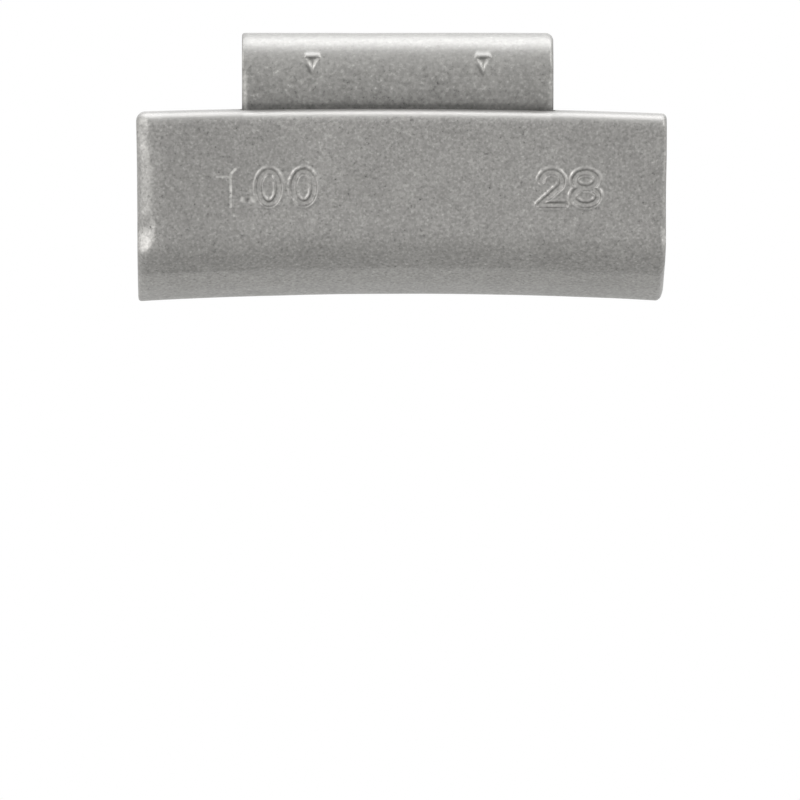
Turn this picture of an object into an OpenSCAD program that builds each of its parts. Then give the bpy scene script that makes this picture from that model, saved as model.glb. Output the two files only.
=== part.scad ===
// Clip-on balance weight for a car wheel: a steel bar and the spring clip pressed into its top.
// X runs along the bar, -Y is the front, +Z points away from the wheel's centre.
// The origin is on the bar's flat back, which seats on the rim, in the middle of its length and height.

/* [Bar] */
// Length of the bar, end to end
body_l = 37.6; // [24:0.1:60]
// Height of the bar between the crowns of its two edges
body_h = 13.25; // [10:0.05:18]
// Depth of the bar, from its back to its front face
body_d = 6.95; // [5.4:0.05:9]
// Radius of the hollow lower edge, seen from the front
lower_edge_r = 340; // [150:1:600]
// Radius of the bowed upper edge, seen from the front
upper_edge_r = 620; // [250:1:900]
// Place of the upper edge's crown along the bar
upper_crown_x = -3.5; // [-6:0.1:6]
// Place of the lower edge's crown along the bar
lower_crown_x = 0.5; // [-6:0.1:6]

/* [Bar section] */
// Radius of the shoulder between the top and the front face
shoulder_r = 1.0; // [0.4:0.05:1.4]
// Drop from the bar's top to the land in front of the clip
land_drop = 0.14; // [0:0.02:0.6]
// Radius of the edge between the top and the back
back_r = 1.05; // [0.3:0.05:2]
// Radius where the front face turns into the lower sweep
belly_r = 2.4; // [1:0.1:3.5]
// Radius of the sweep that runs under the bar to its back
sweep_r = 8.6; // [7.5:0.1:14]

/* [Bar ends] */
// Radius of the upright edge between the front face and the left end
left_edge_r = 1.35; // [0.2:0.05:2.5]
// Radius of the upright edge between the front face and the right end
right_edge_r = 0.4; // [0.2:0.05:2.5]
// Radius of the left end's upper corner, seen from the front
left_top_r = 0.7; // [0.1:0.05:2]
// Radius of the right end's upper corner, seen from the front
right_top_r = 0.35; // [0.1:0.05:2]
// Radius of the left end's lower corner, seen from the front
left_foot_r = 0.25; // [0.1:0.05:2]
// Radius of the right end's lower corner, seen from the front
right_foot_r = 0.5; // [0.1:0.05:2]
// How far the right end draws in at its foot
right_foot_in = 0.1; // [0:0.02:0.6]
// Height over which the right end draws in
right_foot_h = 4.0; // [1:0.1:5]

/* [Clip] */
// Width of the clip along the bar
clip_w = 22.15; // [10:0.05:23]
// Place of the clip's middle along the bar
clip_x = -0.28; // [-1:0.02:1]
// Thickness of the spring steel strip
strip_t = 1.2; // [0.8:0.05:1.5]
// Thickness of the bar's wall in front of the clip's leg
front_wall = 1.06; // [0.8:0.02:1.8]
// Height of the clip's top over the bar's top
clip_rise = 5.27; // [4:0.01:8]
// Outer radius of the clip's front bend
bend_r = 2.85; // [2:0.05:3.5]
// Outer radius of the hook's sweep over the rim flange
hook_r = 9.75; // [6:0.05:14]
// Angle through which the hook's sweep turns down
hook_angle = 67.4; // [40:0.2:80]
// Depth of the clip's leg in the bar
leg_depth = 3.6; // [1.5:0.1:6]
// Gap between each end of the slot and the clip
slot_end_gap = 0.15; // [0.05:0.05:0.5]
// Radius of the clip's upper left corner, seen from the front
clip_left_r = 0.2; // [0.1:0.05:1]
// Radius of the clip's upper right corner, seen from the front
clip_right_r = 0.6; // [0.1:0.05:1]

/* [Dents in the clip] */
// Distance between the two dents
dent_pitch = 12.1; // [3:0.1:16]
// How far up the bend the dents sit, as an angle from the leg's face
dent_angle = 17; // [5:1:60]
// Width of a dent at its straight upper edge
dent_w = 1.05; // [0.4:0.05:2]
// Height of a dent, from its upper edge down to its point
dent_h = 0.85; // [0.4:0.05:1.6]
// Depth of a dent in the bend
dent_depth = 0.3; // [0.1:0.05:0.6]

/* [Hidden] */

// Steps along a section's arc, along its long sweep and along the arc of an end's corner
arc_steps = 8;
sweep_steps = 12;
corner_steps = 5;
// How far a cutting outline runs past the solid that it trims
over = 2;
// How far a corner's arc starts outside the edge it rounds, so that the two cross
lift = 0.04;
revolve_fn = 2880;

z_top = body_h / 2;
z_foot = -body_h / 2;
leg_front = body_d - front_wall;
leg_back = leg_front - strip_t;
z_slot = z_top - leg_depth;
z_clip = z_top + clip_rise;
z_bend = z_clip - bend_r;

// Height of the upper and of the lower edge at a place along the bar
function upper_edge_z(x) = z_top - upper_edge_r + sqrt(pow(upper_edge_r, 2) - pow(x - upper_crown_x, 2));
function lower_edge_z(x) = z_foot - lower_edge_r + sqrt(pow(lower_edge_r, 2) - pow(x - lower_crown_x, 2));

// Points of a circle's arc from angle a0 to angle a1
function arc(c, r, a0, a1, steps) =
    [for (i = [0:steps]) c + r * [cos(a0 + (a1 - a0) * i / steps), sin(a0 + (a1 - a0) * i / steps)]];

// Carries an outline along an arc in the XZ plane. In the outline, X is the distance from the arc's
// crown, outwards, and Y the distance in front of the bar's back.
module along_edge(edge_r, crown_x, crown_z) {
    reach = 2 * asin((body_l / 2 + abs(crown_x) + over) / edge_r);
    translate([crown_x, 0, crown_z - edge_r])
        rotate([90, 0, 0])
            rotate([0, 0, 90 - reach / 2])
                rotate_extrude(angle = reach, $fn = revolve_fn)
                    translate([edge_r, 0])
                        children();
}

// The bar's section from its lower edge up: the sweep, the belly and the front face
module lower_section() {
    turn = asin((body_d - belly_r) / (sweep_r - belly_r));
    belly = [sweep_r - (sweep_r - belly_r) * cos(turn), body_d - belly_r];
    height = body_h + over;
    polygon(concat(
        arc([sweep_r, 0], sweep_r, 180, 180 - turn, sweep_steps),
        arc(belly, belly_r, 180 - turn, 90, arc_steps),
        [[height, body_d], [height, 0]]
    ));
}

// The bar's section from its upper edge down: the back's edge, the top, the land and the shoulder
module upper_section() {
    height = body_h + over;
    polygon(concat(
        [[-height, 0]],
        arc([-back_r, back_r], back_r, -90, 0, arc_steps),
        [[0, (leg_back + leg_front) / 2]],
        arc([-land_drop - shoulder_r, body_d - shoulder_r], shoulder_r, 0, 90, arc_steps),
        [[-height, body_d]]
    ));
}

// The bar seen from the front, past both edges, with the four corners of its ends rounded
module front_outline() {
    left = -body_l / 2;
    right = body_l / 2;
    foot = right - right_foot_in;
    polygon(concat(
        [[left + left_top_r, z_top + over]],
        arc([left + left_top_r, upper_edge_z(left) - left_top_r + lift], left_top_r, 90, 180, corner_steps),
        arc([left + left_foot_r, lower_edge_z(left) + left_foot_r - lift], left_foot_r, 180, 270, corner_steps),
        [[left + left_foot_r, lower_edge_z(left) - over]],
        [[foot - right_foot_r, lower_edge_z(right) - over]],
        arc([foot - right_foot_r, lower_edge_z(right) + right_foot_r - lift], right_foot_r, 270, 360, corner_steps),
        [[right, lower_edge_z(right) + right_foot_h]],
        arc([right - right_top_r, upper_edge_z(right) - right_top_r + lift], right_top_r, 0, 90, corner_steps),
        [[right - right_top_r, z_top + over]]
    ));
}

// The bar seen from above, with the upright edges of its front rounded
module plan_outline() {
    left = -body_l / 2;
    right = body_l / 2;
    polygon(concat(
        [[right, over], [left, over]],
        arc([left + left_edge_r, left_edge_r - body_d], left_edge_r, 180, 270, corner_steps),
        arc([right - right_edge_r, right_edge_r - body_d], right_edge_r, 270, 360, corner_steps)
    ));
}

module clip_slot() {
    slot_w = clip_w + 2 * slot_end_gap;
    translate([clip_x - slot_w / 2, -leg_front, z_slot])
        cube([slot_w, strip_t, leg_depth + over]);
}

module weight_body() {
    color([0.60, 0.60, 0.58])
        difference() {
            intersection() {
                along_edge(lower_edge_r, lower_crown_x, z_foot)
                    lower_section();
                along_edge(upper_edge_r, upper_crown_x, z_top)
                    upper_section();
                translate([0, over, 0])
                    rotate([90, 0, 0])
                        linear_extrude(height = body_d + 2 * over)
                            front_outline();
                translate([0, 0, -body_h])
                    linear_extrude(height = 2 * body_h)
                        plan_outline();
            }
            clip_slot();
        }
}

// A length of the strip bent round the origin, from the angle a0 to a1
module bent_length(outer_r, a0, a1) {
    reach = 2 * outer_r;
    intersection() {
        difference() {
            circle(r = outer_r, $fn = 180);
            circle(r = outer_r - strip_t, $fn = 180);
        }
        polygon([
            [0, 0],
            reach * [cos(a0), sin(a0)],
            reach * [cos((a0 + a1) / 2), sin((a0 + a1) / 2)],
            reach * [cos(a1), sin(a1)]
        ]);
    }
}

// The strip seen from its end: the leg, the front bend and the sweep of the hook
module strip_profile() {
    translate([-leg_front, z_slot])
        square([strip_t, z_bend - z_slot]);
    translate([bend_r - leg_front, z_bend])
        bent_length(bend_r, 90, 180);
    translate([bend_r - leg_front, z_clip - hook_r])
        bent_length(hook_r, 90 - hook_angle, 90);
}

module bent_strip() {
    rotate([90, 0, 90])
        linear_extrude(height = clip_w)
            strip_profile();
}

// The clip seen from the front, with its upper corners drawn in by the bend
module clip_outline() {
    polygon(concat(
        [[0, z_slot - over], [clip_w, z_slot - over]],
        arc([clip_w - clip_right_r, z_clip - clip_right_r], clip_right_r, 0, 90, corner_steps),
        arc([clip_left_r, z_clip - clip_left_r], clip_left_r, 90, 180, corner_steps)
    ));
}

// One punched dent: a triangle that points down, square to the bend where it sits
module dent() {
    translate([0, bend_r - leg_front, z_bend])
        rotate([90 - dent_angle, 0, 0])
            translate([0, 0, bend_r - dent_depth])
                linear_extrude(height = strip_t)
                    polygon([[-dent_w / 2, dent_h / 3], [dent_w / 2, dent_h / 3], [0, -2 * dent_h / 3]]);
}

module spring_clip() {
    color([0.62, 0.62, 0.60])
        translate([clip_x, 0, 0])
            difference() {
                intersection() {
                    translate([-clip_w / 2, 0, 0])
                        bent_strip();
                    translate([-clip_w / 2, 2 * hook_r, 0])
                        rotate([90, 0, 0])
                            linear_extrude(height = 4 * hook_r)
                                clip_outline();
                }
                for (side = [-1, 1])
                    translate([side * dent_pitch / 2, 0, 0])
                        dent();
            }
}

weight_body();
spring_clip();
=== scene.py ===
"""Clip-on balance weight for a car wheel: a coated steel bar and the spring clip pressed into its top.

The two pieces are grid surfaces worked out with numpy, in millimetres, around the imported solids.
X runs along the bar, -Y is the front and +Z points to the clip's top. The origin is on the bar's back.
"""

import math

import bpy
import numpy as np
from bpy.props import FloatProperty, FloatVectorProperty, PointerProperty
from bpy.types import Operator, Panel, PropertyGroup
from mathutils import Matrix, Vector


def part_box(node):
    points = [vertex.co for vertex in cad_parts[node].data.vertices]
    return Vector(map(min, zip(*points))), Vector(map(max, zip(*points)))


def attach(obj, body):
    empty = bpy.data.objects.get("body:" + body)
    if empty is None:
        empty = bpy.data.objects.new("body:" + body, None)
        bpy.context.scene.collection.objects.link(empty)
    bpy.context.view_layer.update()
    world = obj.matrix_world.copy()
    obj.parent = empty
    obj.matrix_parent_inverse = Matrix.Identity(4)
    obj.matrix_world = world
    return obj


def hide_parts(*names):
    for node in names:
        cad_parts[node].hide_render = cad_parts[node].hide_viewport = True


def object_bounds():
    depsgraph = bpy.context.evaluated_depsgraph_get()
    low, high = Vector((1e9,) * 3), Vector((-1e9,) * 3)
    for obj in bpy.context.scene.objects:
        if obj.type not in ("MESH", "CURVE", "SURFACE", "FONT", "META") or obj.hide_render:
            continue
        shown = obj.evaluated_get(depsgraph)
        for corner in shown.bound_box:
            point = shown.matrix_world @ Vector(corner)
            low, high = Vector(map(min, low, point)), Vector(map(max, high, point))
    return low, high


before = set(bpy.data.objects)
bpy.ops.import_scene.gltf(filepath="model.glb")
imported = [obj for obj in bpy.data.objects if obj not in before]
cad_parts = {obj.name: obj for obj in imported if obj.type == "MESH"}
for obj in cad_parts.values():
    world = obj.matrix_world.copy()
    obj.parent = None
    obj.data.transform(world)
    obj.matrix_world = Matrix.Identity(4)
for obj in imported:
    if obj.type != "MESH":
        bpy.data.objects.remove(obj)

bl_info = {
    "name": "Wheel balance weight",
    "version": (1, 0, 0),
    "blender": (4, 5, 0),
    "location": "3D View > Sidebar > Balance weight",
    "description": "Builds a clip-on balance weight, its silver-grey coat and a plain studio",
    "category": "Add Mesh",
}

MM = 0.001
WHITE = (1.0, 1.0, 1.0)
COOL = (0.96, 0.97, 1.0)
CAD_LOW, CAD_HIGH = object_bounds()
BAR_LOW, BAR_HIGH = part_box("weight_body")
CLIP_LOW, CLIP_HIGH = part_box("spring_clip")


def length(label, about, millimetres, least=0.0, most=1000.0):
    """A length that a user can set, given and limited in millimetres."""
    return FloatProperty(
        name=label, description=about, default=millimetres * MM,
        min=least * MM, max=most * MM, unit="LENGTH", precision=5,
    )


def share(label, about, default, most=1.0):
    """A share, from 0 to its most."""
    return FloatProperty(name=label, description=about, default=default, min=0.0, max=most, subtype="FACTOR")


class BarSettings(PropertyGroup):
    """Sizes of the bar that its box doesn't give."""

    lower_edge_r: length("Lower edge", "Radius of the hollow lower edge, seen from the front", 340)
    upper_edge_r: length("Upper edge", "Radius of the bowed upper edge, seen from the front", 520)
    lower_crown: length("Lower crown", "Place of the lower edge's crown along the bar", 0.3, -10)
    low_drop: length("Lower drop", "How far the lower edge's crown lies under half the bar's height", 0.03)
    upper_crown: length("Upper crown", "Place of the upper edge's crown along the bar", -1.9, -10)
    shoulder_r: length("Shoulder", "Radius between the top and the front face", 1.0)
    top_trim: length("Top trim", "How far the top's crown stays inside its box", 0.06)
    land_drop: length("Land drop", "Drop from the top to the land in front of the clip", 0.08)
    back_r: length("Back edge", "Radius between the top and the back", 1.05)
    belly_r: length("Belly", "Radius where the front face turns under", 2.4)
    sweep_r: length("Sweep", "Radius of the sweep under the bar", 8.6)
    foot_r: length("Foot edge", "Radius between the sweep and the back", 0.3)
    slot_gap: length("Slot gap", "Gap between each end of the slot and the clip", 0.02)
    slot_lip: length("Slot lip", "Radius of the slot's rolled mouth", 0.08)
    slot_depth: length("Slot depth", "Depth of the slot under the bar's top", 3.6)
    foot_in: length("Right foot", "How far the right end draws in at its foot", 0.12)
    foot_h: length("Right foot height", "Height over which the right end draws in", 4.0)
    left_lean: length("Left lean", "How far the left end draws in towards its foot", 0.125)
    corner_w: length("Corner width", "How far the right end's lower corner reaches along the bar", 0.6)
    corner_h: length("Corner height", "How far up the right end its lower corner reaches", 1.05)
    right_lean: length("Right lean", "How far the right end draws in towards its foot", 0.06)
    facet: length("Facets", "Depth of the pressed facets on the upright edges of the ends", 0.17)
    crease: length("Crease", "Step-back of the sweep behind the crease that the belly ends in", 0.14)
    wave: length("Wave", "Height of the slow unevenness left by pressing", 0.02)
    stroke_w: length("Stroke width", "Width of a stamped numeral's groove", 0.44)
    stroke_depth: length("Stroke depth", "Depth of a stamped numeral's groove", 0.085)
    stroke_lip: length("Stroke lip", "Height of the metal raised beside a groove", 0.075)


class ClipSettings(PropertyGroup):
    """Sizes of the clip that its box doesn't give."""

    strip_t: length("Strip", "Thickness of the spring strip", 1.2)
    bend_r: length("Bend", "Outer radius of the front bend", 2.85)
    hook_r: length("Hook", "Outer radius of the sweep over the rim flange", 9.75)
    hook_angle: FloatProperty(
        name="Hook angle", description="Angle through which the sweep turns down",
        default=math.radians(67.4), subtype="ANGLE",
    )
    edge_r: length("Strip edge", "Radius of the strip's edges", 0.3)
    leg_edge_r: length("Leg edge", "Radius of the strip's outer edges on the leg", 0.5)
    bend_edge_r: length("Bend edge", "Radius of the strip's outer left edge on the bend", 0.16)
    left_trim: length("Left trim", "How far the strip's left edge stays inside its box", 0.05)
    left_r: length("Left corner", "Radius that the bend gives the left edge", 0.2)
    right_r: length("Right corner", "Radius that the bend gives the right edge", 0.58)
    dent_pitch: length("Dent pitch", "Distance between the two dents", 12.1)
    dent_angle: FloatProperty(
        name="Dent angle", description="How far up the bend the dents sit",
        default=math.radians(17), subtype="ANGLE",
    )
    dent_up: length("Dent offset", "How far a dent's upper edge lies over the place of its angle", 0.3)
    dent_w: length("Dent width", "Width of a dent at its straight upper edge", 1.05)
    dent_h: length("Dent height", "Height of a dent down to its point", 1.05)
    dent_depth: length("Dent depth", "Depth of a dent", 0.12)
    dent_lip: length("Dent lip", "Height of the metal raised over a dent", 0.1)
    wave: length("Wave", "Height of the slow unevenness of the strip", 0.022)


class CoatSettings(PropertyGroup):
    """The silver-grey coat on both pieces."""

    bar_colour: FloatVectorProperty(
        name="Bar", description="Colour of the bar's coat", default=(0.304, 0.298, 0.286),
        subtype="COLOR", min=0.0, max=1.0,
    )
    clip_colour: FloatVectorProperty(
        name="Clip", description="Colour of the clip's coat", default=(0.302, 0.2975, 0.2845),
        subtype="COLOR", min=0.0, max=1.0,
    )
    metallic: share("Metal", "How metallic the flakes make the coat", 0.75)
    roughness: share("Roughness", "Mean roughness of the coat", 0.45)
    bar_flake: length("Bar flake", "Size of a flake of the bar's coat", 0.16)
    clip_flake: length("Clip flake", "Size of a flake of the clip's coat", 0.2)
    bar_contrast: share("Bar contrast", "How far the flakes of the bar's coat differ", 0.37)
    clip_contrast: share("Clip contrast", "How far the flakes of the clip's coat differ", 0.42)
    grain: length("Grain", "Size of the coat's orange peel", 0.35)
    mottle: length("Mottle", "Size of the slow patches in the coat", 3.846)


class StageSettings(PropertyGroup):
    """Camera, floor and lamps."""

    camera_back: length("Camera distance", "Distance from the bar's front to the camera", 1500, 10, 5000)
    picture_w: length("Picture width", "Width that the picture takes in at the bar's front", 56.62)
    aim_x: length("Aim along", "Place along the bar at the picture's middle", -0.09, -50)
    aim_z: length("Aim height", "Height at the picture's middle", -14.12, -50)
    camera_z: length("Camera height", "Height of the camera", 2.6, -50)
    floor_drop: length("Floor", "Distance from the bar's lowest point down to the floor", 60)
    sky: share("Sky", "Strength of the soft light from all round", 0.55, 4.0)
    top_light: share("Top lamp", "Brightness of the lamp overhead", 3.55, 20.0)
    back_light: share("Back lamp", "Brightness of the lamp behind the top one", 0.4, 20.0)
    left_light: share("Left lamp", "Brightness of the broad lamp at the left", 1.25, 20.0)
    right_light: share("Right lamp", "Brightness of the lamp at the right", 0.95, 20.0)
    front_light: share("Front lamps", "Brightness of the two small lamps high at the front", 5.5, 20.0)


def mm(settings):
    """The settings as plain numbers by name, with each length in millimetres."""
    found = {}
    for name, prop in settings.bl_rna.properties.items():
        if prop.type == "FLOAT" and not prop.is_array:
            value = getattr(settings, name)
            found[name] = value / MM if prop.unit == "LENGTH" else value
    return found


def smoothstep(low, high, value):
    """0 below low, 1 above high, and 3t^2 - 2t^3 between."""
    t = np.clip((value - low) / (high - low), 0.0, 1.0)
    return t * t * (3.0 - 2.0 * t)


def spaced(*stations):
    """Places from the first station on: each (end, step) adds equal steps of about that size."""
    places = [np.array([float(stations[0])])]
    start = float(stations[0])
    for end, step in stations[1:]:
        count = max(1, round(abs(end - start) / step))
        places.append(np.linspace(start, end, count + 1)[1:])
        start = end
    return np.concatenate(places)


def grid_faces(rings, around):
    """Quads between rings of points that close on themselves: point (i, j) is number i * around + j."""
    i, j = np.meshgrid(np.arange(rings - 1), np.arange(around), indexing="ij")
    nxt = (j + 1) % around
    low, high = i * around, (i + 1) * around
    return np.stack([low + j, high + j, high + nxt, low + nxt], axis=-1).reshape(-1, 4)


def closed_mesh(name, rings, marks):
    """A mesh from rings of points (ring, around, xyz) in millimetres, with each end closed at a pole. Each of
    the marks is an attribute, with a number for every point of the rings."""
    count, around = rings.shape[:2]
    poles = np.stack([rings[0].mean(axis=0), rings[-1].mean(axis=0)])
    points = np.concatenate([rings.reshape(-1, 3), poles]) * MM
    quads = grid_faces(count, around)
    j = np.arange(around)
    nxt = (j + 1) % around
    last = (count - 1) * around
    first_fan = np.stack([np.full(around, count * around), j, nxt], axis=1)
    last_fan = np.stack([np.full(around, count * around + 1), last + nxt, last + j], axis=1)
    a, b, c, d = (points[quads[:, k]] for k in range(4))
    volume = (np.einsum("ij,ij->i", a, np.cross(b, c)) + np.einsum("ij,ij->i", a, np.cross(c, d))).sum()
    if volume < 0:
        quads, first_fan, last_fan = quads[:, ::-1], first_fan[:, ::-1], last_fan[:, ::-1]
    corners = np.concatenate([quads.ravel(), first_fan.ravel(), last_fan.ravel()])
    sizes = np.concatenate([np.full(len(quads), 4), np.full(2 * around, 3)])
    mesh = bpy.data.meshes.new(name)
    mesh.vertices.add(len(points))
    mesh.vertices.foreach_set("co", points.astype(np.float32).ravel())
    mesh.loops.add(len(corners))
    mesh.loops.foreach_set("vertex_index", corners.astype(np.int32))
    mesh.polygons.add(len(sizes))
    mesh.polygons.foreach_set("loop_start", (np.cumsum(sizes) - sizes).astype(np.int32))
    mesh.polygons.foreach_set("loop_total", sizes.astype(np.int32))
    mesh.polygons.foreach_set("use_smooth", np.ones(len(sizes), dtype=bool))
    mesh.update(calc_edges=True)
    for mark, values in marks.items():
        numbers = np.concatenate([values.ravel(), [values[0].mean(), values[-1].mean()]])
        mesh.attributes.new(mark, "FLOAT", "POINT").data.foreach_set("value", numbers.astype(np.float32))
    return mesh


def add_piece(name, rings, marks, material, node, slot):
    """Puts a closed mesh into the scene in place of its CAD node, on the root body."""
    mesh = closed_mesh(name, rings, marks)
    mesh.materials.append(material)
    piece = bpy.data.objects.new(name, mesh)
    bpy.context.scene.collection.objects.link(piece)
    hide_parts(node)
    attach(piece, "root")


def outward(across, up):
    """Unit normals of closed loops of points, to the right of the way the loop runs."""
    step_a = np.roll(across, -1, axis=1) - np.roll(across, 1, axis=1)
    step_u = np.roll(up, -1, axis=1) - np.roll(up, 1, axis=1)
    size = np.hypot(step_a, step_u)
    return step_u / size, -step_a / size


def waves(x, q, height, seed):
    """Slow unevenness from 0 to height: the sum of five sine waves of x and q with lengths of 4 to 12."""
    random = np.random.default_rng(seed)
    total = np.zeros(np.broadcast(x, q).shape)
    for wave_length in random.uniform(4.0, 12.0, 5):
        angle, phase = random.uniform(0, 2 * math.pi, 2)
        total += np.sin(2 * math.pi / wave_length * (math.cos(angle) * x + math.sin(angle) * q) + phase)
    return height * np.clip(0.5 + total / 8.0, 0.0, 1.0)


def to_segment(x, z, start, end):
    """Distance from points (x, z) to the line between two points."""
    along = np.subtract(end, start)
    t = np.clip(((x - start[0]) * along[0] + (z - start[1]) * along[1]) / (along @ along), 0.0, 1.0)
    return np.hypot(x - start[0] - t * along[0], z - start[1] - t * along[1])


def to_ring(x, z, centre, half_w, half_h):
    """Distance from points to an ellipse, to first order: |f| / |grad f| with f = |p / halves| - 1."""
    u, v = (x - centre[0]) / half_w, (z - centre[1]) / half_h
    f = np.hypot(u, v)
    slope = np.hypot(u / half_w, v / half_h) / np.maximum(f, 1e-6)
    return np.abs(f - 1.0) / np.maximum(slope, 1e-6)


def to_arc(x, z, centre, half_w, half_h, start, end):
    """Distance to the part of an ellipse between two angles, counted anticlockwise, and to its two ends."""
    u, v = x - centre[0], z - centre[1]
    within = np.mod(np.arctan2(v / half_h, u / half_w) - start, 2 * math.pi) <= end - start
    ends = [np.hypot(u - half_w * math.cos(a), v - half_h * math.sin(a)) for a in (start, end)]
    return np.where(within, to_ring(x, z, centre, half_w, half_h), np.minimum(*ends))


def to_path(x, z, *corners):
    """Distance to a line through several points."""
    return np.minimum.reduce([to_segment(x, z, *pair) for pair in zip(corners, corners[1:])])


def digit_distance(x, z, digit, left, foot, width, height):
    """Distance to the centre line of one plain digit, whose centre lines fill the given box."""
    mid, right, top = left + width / 2, left + width, foot + height
    if digit == "0":
        return to_ring(x, z, (mid, foot + height / 2), width / 2, height / 2)
    if digit == "1":
        stem = right - 0.25 * width
        flag = to_path(x, z, (left, top - 0.21 * height), (stem, top - 0.22 * height))
        return np.minimum(flag, to_path(x, z, (stem, foot), (stem, top - 0.14 * height), (right, top)))
    if digit == "2":
        bowl_w, bowl_h, bowl_x = 0.41 * width, 0.3 * height, left + 0.47 * width
        turn = 0.14 * math.pi
        bowl = to_arc(x, z, (bowl_x, top - bowl_h), bowl_w, bowl_h, -turn, 0.97 * math.pi)
        low = (bowl_x + bowl_w * math.cos(turn), top - bowl_h - bowl_h * math.sin(turn))
        return np.minimum(bowl, to_path(x, z, low, (left, foot), (right, foot)))
    if digit == "8":
        upper, lower = 0.24 * height, 0.26 * height
        top_loop = to_ring(x, z, (mid, top - upper), 0.44 * width, upper)
        return np.minimum(top_loop, to_ring(x, z, (mid, foot + lower), width / 2, lower))
    raise ValueError(f"there is no shape for the digit {digit}")


# Digit, its left, foot, width and height of the centre lines, in millimetres on the bar's face, and its
# stroke's share of the full width
DIGITS = (
    ("1", -13.06, -0.45, 1.32, 2.68, 0.6),
    ("0", -10.08, -0.25, 1.42, 2.3, 1.0),
    ("0", -7.64, -0.2, 1.48, 2.27, 1.0),
    ("2", 9.8, -0.33, 1.8, 2.34, 1.0),
    ("8", 12.18, -0.33, 1.76, 2.32, 1.0),
)
POINT_PLACE = (-10.88, 0.03)
POINT_R = 0.28
# A light scratch beside the last digit
SCRATCH = ((13.95, 2.42), (14.6, 2.52), (15.2, 2.25), (16.05, 1.9))
# Dense stretches of the bar's face, round the digits
DIGIT_SPANS = ((-13.4, -5.85), (9.4, 14.4))
DENSE_STEP = 0.046
# Step over which a slope of the distance to the strokes is taken
NUDGE = 0.01


def strokes(x, z):
    """Distance to the centre line of the nearest stroke, over that stroke's share of the full width, and how
    much thinner than the full width the stroke is."""
    distance = np.full(np.broadcast(x, z).shape, 9.0)
    thin = np.zeros_like(distance)
    for *digit, stroke_share in DIGITS:
        found = digit_distance(x, z, *digit) / stroke_share
        thin = np.where(found < distance, 1.0 - stroke_share, thin)
        distance = np.minimum(distance, found)
    return distance, thin


def stamp(x, z, bar):
    """How far the face stands back at (x, z): flat grooves along the digits' strokes, with a ridge on each
    side, a round pit for the point, and one light scratch. A thinner stroke is shallower, down to no depth at
    0.6 of the full width. Also the painted light and shade, as a share to add: painted shade on the grooves'
    walls, painted highlights between them and where a ridge slopes away upwards and to a side, the strongest
    painted highlight along a thinner stroke, and painted shade in the point, between two painted highlights
    at its sides."""
    half = bar["stroke_w"] / 2
    distance, thin = strokes(x, z)
    across = distance / half
    away_x = (strokes(x + NUDGE, z)[0] - distance) / NUDGE
    away_z = (strokes(x, z + NUDGE)[0] - distance) / NUDGE
    # Where a painted highlight falls on a ridge that slopes up and to a side
    glint = np.clip(2.0 * np.abs(away_x) * away_z, 0.0, 1.0)
    point = np.hypot(x - POINT_PLACE[0], z - POINT_PLACE[1]) / POINT_R
    groove = smoothstep(1.0, 0.45, across)
    ridge = np.exp(-(((across - 1.4) / 0.4) ** 2)) + 0.3 * np.exp(-(((point - 1.25) / 0.4) ** 2))
    # Painted highlights at the point's two sides
    point_side_glints = np.exp(-(((point - 1.35) / 0.5) ** 2)) * smoothstep(0.32, 0.0, np.abs(z - POINT_PLACE[1]))
    strength = 0.85 + 0.15 * np.sin(1.9 * x + 0.6) * np.cos(1.3 * z + 0.4)
    patchy = np.maximum(0.9 + 0.25 * away_x + 0.7 * np.sin(7.9 * x) * np.sin(6.7 * z + 0.8), 0.2)
    scratch = 0.025 * np.exp(-((to_path(x, z, *SCRATCH) / 0.1) ** 2))
    height = bar["stroke_depth"] * (groove + 1.2 * smoothstep(1.0, 0.0, point)) - bar["stroke_lip"] * ridge
    slope = np.exp(-(((across - 1.5) / 0.55) ** 2))
    # Painted highlights on the ridges, in patches, and painted shade on the grooves' walls
    tone = 0.48 * slope * glint * patchy - 0.28 * np.exp(-(((across - 0.85) / 0.3) ** 2))
    # Painted highlight along a groove's floor, strongest along a thinner stroke
    groove_highlight = 0.2 + thin * (1.6 + 0.8 * np.sin(4.8 * z - 1.7))
    tone = tone * (1.0 - 1.5 * thin) + groove_highlight * smoothstep(0.65 + thin, 0.3, across)
    height = height * (1.0 - 2.5 * thin)
    # Painted shade in the point, between its painted highlights
    tone = tone - 0.55 * np.exp(-((point / 0.55) ** 2)) + 1.2 * point_side_glints
    return strength * height + scratch, strength * tone


def edge_height(x, crown_x, crown_z, radius, offset):
    """Height at x of an arc about a point under its crown:
    crown_z - radius + sqrt((radius + offset)^2 - (x - crown_x)^2)."""
    return crown_z - radius + np.sqrt((radius + offset) ** 2 - (x - crown_x) ** 2)


def stretch(depth, low=0.0, up=0.0, upper=0.0, left=0.0, right=0.0):
    """Rows of the bar's section: depth before the back, height over the lower and the upper edge, the upper
    edge's share in the height, and the radii with which the row rolls over the left and the right end."""
    return np.stack(np.broadcast_arrays(depth, low, up, upper, left, right), axis=-1)


def ramp(count, start, end):
    """Numbers from start to end that leave out the last."""
    return np.linspace(start, end, count + 1)[:-1]


# Where along the sweep the crease lies, as the angle before the sweep's foot
CREASE_TURN = math.radians(38.6)


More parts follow.
